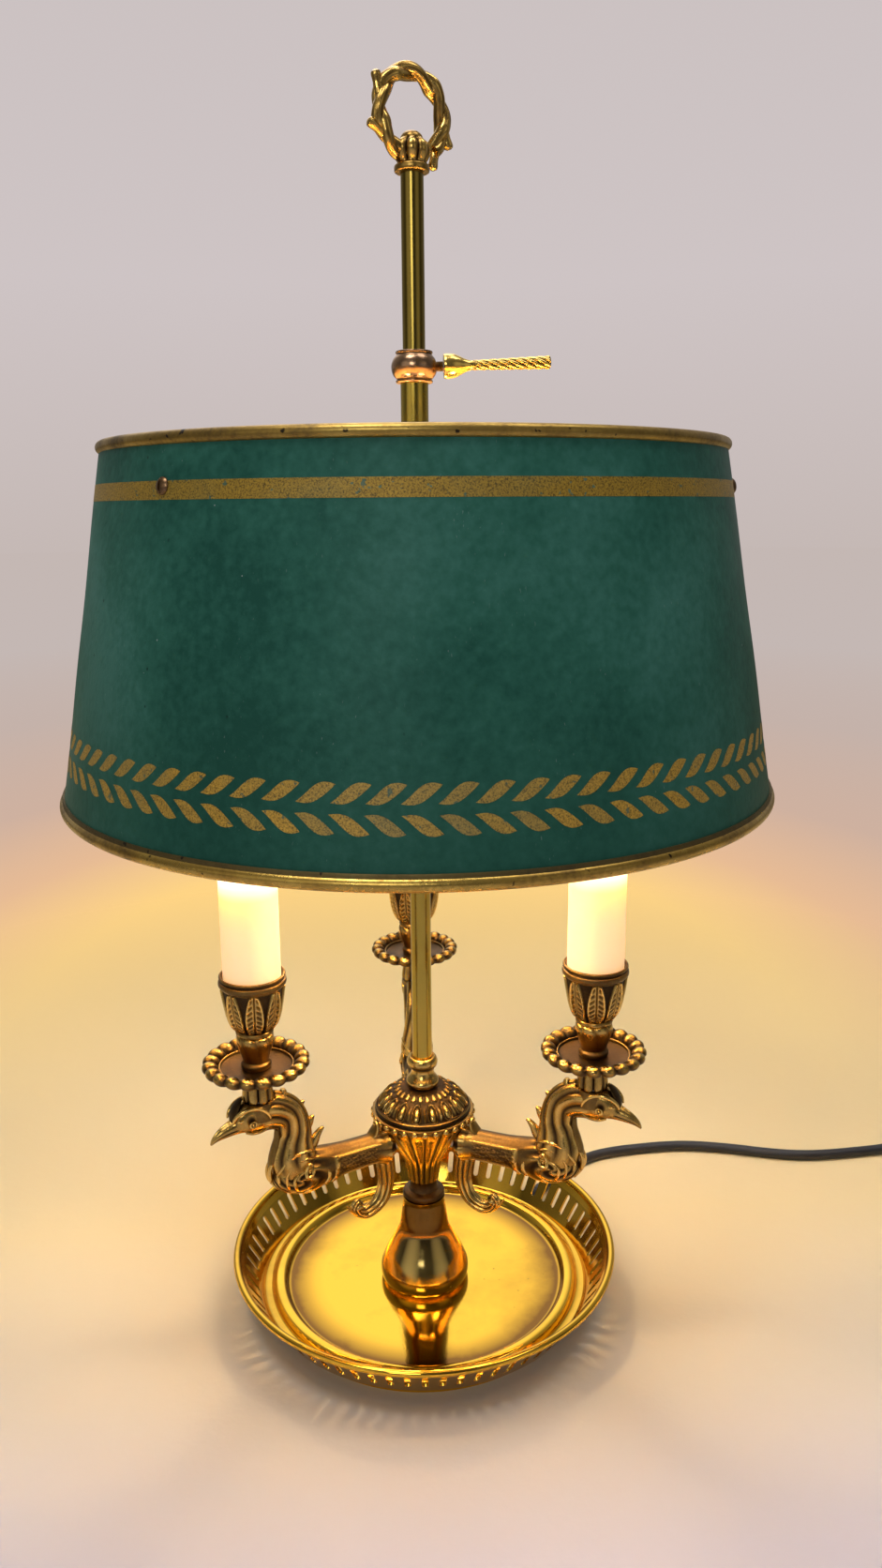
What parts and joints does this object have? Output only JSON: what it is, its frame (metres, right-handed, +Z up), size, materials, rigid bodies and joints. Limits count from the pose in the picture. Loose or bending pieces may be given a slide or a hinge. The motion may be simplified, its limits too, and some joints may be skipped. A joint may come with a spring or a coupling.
{
  "type": "bouillotte lamp",
  "caption": "Table lamp with a pierced dish base, bird-headed candle arms and a painted metal shade that slides and turns on a central rod.",
  "frame": {"origin": "on the table under the column's axis, bottom centre of the lamp", "axes": "+Z up along the rod; the arms stand at 90, 210 and 330 degrees from +X about +Z, and the clamping key points to +X"},
  "size_m": [0.6043, 0.3296, 0.5883],
  "materials": {
    "polished_brass": "polished, lightly tarnished and pitted",
    "antique_brass": "cast, dark in the recesses and rubbed bright on the high points",
    "bronze": "reddish brown, worn",
    "plated_steel": "zinc plated",
    "candle_white": "translucent white, satin",
    "socket_ivory": "matte",
    "bulb_glass": "frosted",
    "green_tole": "dark teal-green paint with gilt bands, finely scratched",
    "gilt_rim": "antique gold paint, worn",
    "black_cord": "satin",
    "black_plastic": "moulded"
  },
  "bodies": {
    "lamp": {"tray": "polished_brass", "foot_hoop": "polished_brass", "base_nut": "plated_steel", "base_washer": "plated_steel", "tie_tube": "plated_steel", "bell_foot": "polished_brass", "disc_collar": "antique_brass", "hub_cup": "antique_brass", "bead_ring": "antique_brass", "hub_cap": "antique_brass", "rod_collar": "antique_brass", "rod": "polished_brass", "arm_screws": "plated_steel", "arm_rear": "antique_brass", "arm_left": "antique_brass", "arm_right": "antique_brass", "stub_rear": "antique_brass", "stub_left": "antique_brass", "stub_right": "antique_brass", "drip_pan_rear": "antique_brass", "drip_pan_left": "antique_brass", "drip_pan_right": "antique_brass", "candle_cup_rear": "antique_brass", "candle_cup_left": "antique_brass", "candle_cup_right": "antique_brass", "nipple_rear": "plated_steel", "nipple_left": "plated_steel", "nipple_right": "plated_steel", "lampholder_rear": "socket_ivory", "lampholder_left": "socket_ivory", "lampholder_right": "socket_ivory", "candle_sleeve_rear": "candle_white", "candle_sleeve_left": "candle_white", "candle_sleeve_right": "candle_white", "bulb_cap_rear": "plated_steel", "bulb_cap_left": "plated_steel", "bulb_cap_right": "plated_steel", "bulb_glass_rear": "bulb_glass", "bulb_glass_left": "bulb_glass", "bulb_glass_right": "bulb_glass", "finial_bud": "antique_brass", "finial_ring": "antique_brass", "cord_relief": "black_cord", "cord": "black_cord", "cord_coil": "black_cord", "coil_tie": "black_cord", "switch_body": "black_plastic", "plug_body": "black_plastic", "plug_pins": "plated_steel"},
    "clamp": {"slide_sleeve": "polished_brass", "slide_nut": "polished_brass", "clamp_ball": "bronze"},
    "shade": {"shade_cone": "green_tole", "shade_top_rim": "gilt_rim", "shade_bottom_rim": "gilt_rim", "shade_spider": "polished_brass", "shade_screws": "bronze", "shade_nuts": "plated_steel"},
    "key": {"clamp_key": "polished_brass"},
    "rocker": {"switch_rocker": "black_plastic"}
  },
  "joints": [
    {"name": "shade_slide", "type": "slide", "parent": "lamp", "child": "clamp", "axis": [0, 0, 1], "range_m": [-0.05, 0.065]},
    {"name": "shade_turn", "type": "hinge", "parent": "clamp", "child": "shade", "pos_m": [0, 0, 0.4083], "axis": [0, 0, 1], "continuous": true},
    {"name": "key_turn", "type": "hinge", "parent": "clamp", "child": "key", "pos_m": [0, 0, 0.4671], "axis": [0.9994, 0, 0.0349], "range_deg": [0, 360]},
    {"name": "switch_rock", "type": "hinge", "parent": "lamp", "child": "rocker", "pos_m": [0.362, 0.108, 0.0084], "axis": [0, 1, 0], "range_deg": [0, 14]}
  ]
}
